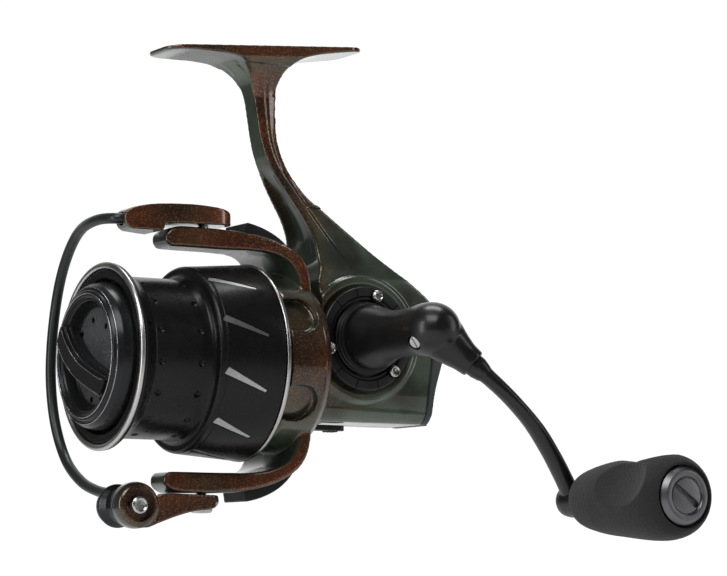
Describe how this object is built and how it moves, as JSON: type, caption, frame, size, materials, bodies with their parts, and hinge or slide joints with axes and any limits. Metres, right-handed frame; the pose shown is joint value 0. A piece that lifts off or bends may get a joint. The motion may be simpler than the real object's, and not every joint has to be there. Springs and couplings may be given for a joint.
{
  "type": "spinning reel",
  "caption": "Open-face fixed-spool fishing reel with foot, folding-wire bail on a rotor, skirted spool with front drag knob, and a cranked handle with a foam knob.",
  "frame": {"origin": "middle of the foot's top face, where the reel seats on the rod", "axes": "+Z out of the foot's top face towards the rod, +X towards the rod's butt (the reel's rear), -Y the handle side"},
  "size_m": [0.123, 0.1362, 0.1311],
  "materials": {
    "body_paint": "gloss colour-shift paint, copper brown to dark green, with fine orange flakes, over cast aluminium",
    "rotor_paint": "gloss colour-shift paint, copper brown to dark green, over reinforced plastic",
    "black_plastic": "satin black moulded plastic",
    "black_handle": "gloss black coated aluminium",
    "black_spool": "satin black anodised aluminium with bright cut slashes",
    "dark_metal": "dark plated metal",
    "steel": "plain steel",
    "bright_aluminium": "machined aluminium",
    "brass": "machined brass",
    "carbon": "woven carbon drag washer",
    "foam": "fine-celled EVA foam"
  },
  "bodies": {
    "frame": {"frame_body": "body_paint", "side_cover": "body_paint", "rear_guard": "black_plastic", "handle_ring": "black_plastic", "ring_screw_1": "steel", "ring_screw_2": "steel", "ring_screw_3": "steel", "cover_screw_1": "steel", "cover_screw_2": "steel", "cover_screw_3": "steel", "shaft_end_cap": "dark_metal", "drive_bearing_crank_side": "steel", "drive_bearing_cover_side": "steel", "pinion_bearing": "steel", "pinion_rear_bush": "brass", "one_way_clutch": "steel", "clutch_retainer": "black_plastic", "guide_rod": "steel"},
    "crank": {"drive_shaft": "steel", "drive_gear": "brass", "shank_collar": "black_plastic", "handle_shank": "black_handle", "lock_screw": "steel", "handle_arm": "black_handle", "knob_spindle": "steel", "knob_screw": "steel"},
    "knob": {"knob_core": "black_plastic", "knob_grip": "foam", "knob_cap": "bright_aluminium", "knob_bearing_inner": "steel", "knob_bearing_outer": "steel"},
    "oscillation": {"oscillation_gear": "brass"},
    "rotor_group": {"rotor": "rotor_paint", "arm_cover_holder_side": "black_plastic", "arm_cover_roller_side": "black_plastic", "rotor_nut": "brass", "pinion_gear": "brass", "clutch_sleeve": "steel", "pivot_screw_holder_side": "steel", "pivot_screw_roller_side": "steel"},
    "bail": {"bail_holder": "rotor_paint", "bail_arm": "rotor_paint", "bail_wire": "dark_metal", "roller_screw": "steel", "roller_bearing": "steel"},
    "roller": {"line_roller": "dark_metal"},
    "carriage": {"main_shaft": "steel", "crosshead": "steel", "spool_seat_gear": "steel"},
    "spool_group": {"spool": "black_spool", "spool_lip_ring": "bright_aluminium", "skirt_ring": "bright_aluminium", "line_clip": "dark_metal", "drag_washer_1": "carbon", "drag_plate_1": "steel", "drag_washer_2": "carbon", "drag_retainer": "steel"},
    "drag_setting": {"drag_knob": "black_plastic", "drag_nut": "brass"},
    "lever": {"anti_reverse_lever": "black_plastic"}
  },
  "joints": [
    {"name": "crank_turn", "type": "hinge", "parent": "frame", "child": "crank", "pos_m": [0.01774, 0, -0.07599], "axis": [0, -1, 0], "continuous": true},
    {"name": "handle_knob_spin", "type": "hinge", "parent": "crank", "child": "knob", "pos_m": [0.05588, -0.068, -0.12061], "axis": [0, -1, 0], "continuous": true},
    {"name": "oscillation_gear_spin", "type": "hinge", "parent": "frame", "child": "oscillation", "pos_m": [0.02274, 0.0066, -0.08711], "axis": [0, -1, 0], "continuous": true},
    {"name": "rotor_spin", "type": "hinge", "parent": "frame", "child": "rotor_group", "pos_m": [-0.0147, 0, -0.07962], "axis": [0.9962, 0, -0.0872], "continuous": true},
    {"name": "bail_swing", "type": "hinge", "parent": "rotor_group", "child": "bail", "pos_m": [-0.02217, 0, -0.07897], "axis": [0.0872, 0, 0.9962], "range_deg": [0, 110]},
    {"name": "line_roller_spin", "type": "hinge", "parent": "bail", "child": "roller", "pos_m": [-0.04716, -0.0009, -0.11332], "axis": [0, -1, 0], "continuous": true},
    {"name": "spool_stroke", "type": "slide", "parent": "frame", "child": "carriage", "axis": [-0.9962, 0, 0.0872], "range_m": [0, 0.011]},
    {"name": "spool_drag", "type": "hinge", "parent": "carriage", "child": "spool_group", "pos_m": [-0.03462, 0, -0.07788], "axis": [0.9962, 0, -0.0872], "continuous": true},
    {"name": "drag_knob_turn", "type": "hinge", "parent": "carriage", "child": "drag_setting", "pos_m": [-0.05056, 0, -0.07648], "axis": [0.9962, 0, -0.0872], "range_deg": [-630, 630]},
    {"name": "anti_reverse_switch", "type": "hinge", "parent": "frame", "child": "lever", "pos_m": [0.00845, 0, -0.09731], "axis": [0.0872, 0, 0.9962], "range_deg": [0, 40]}
  ],
  "couplings": [
    {"joint": "rotor_spin", "follows": "crank_turn", "ratio": 6.25},
    {"joint": "oscillation_gear_spin", "follows": "crank_turn", "ratio": -0.6}
  ]
}
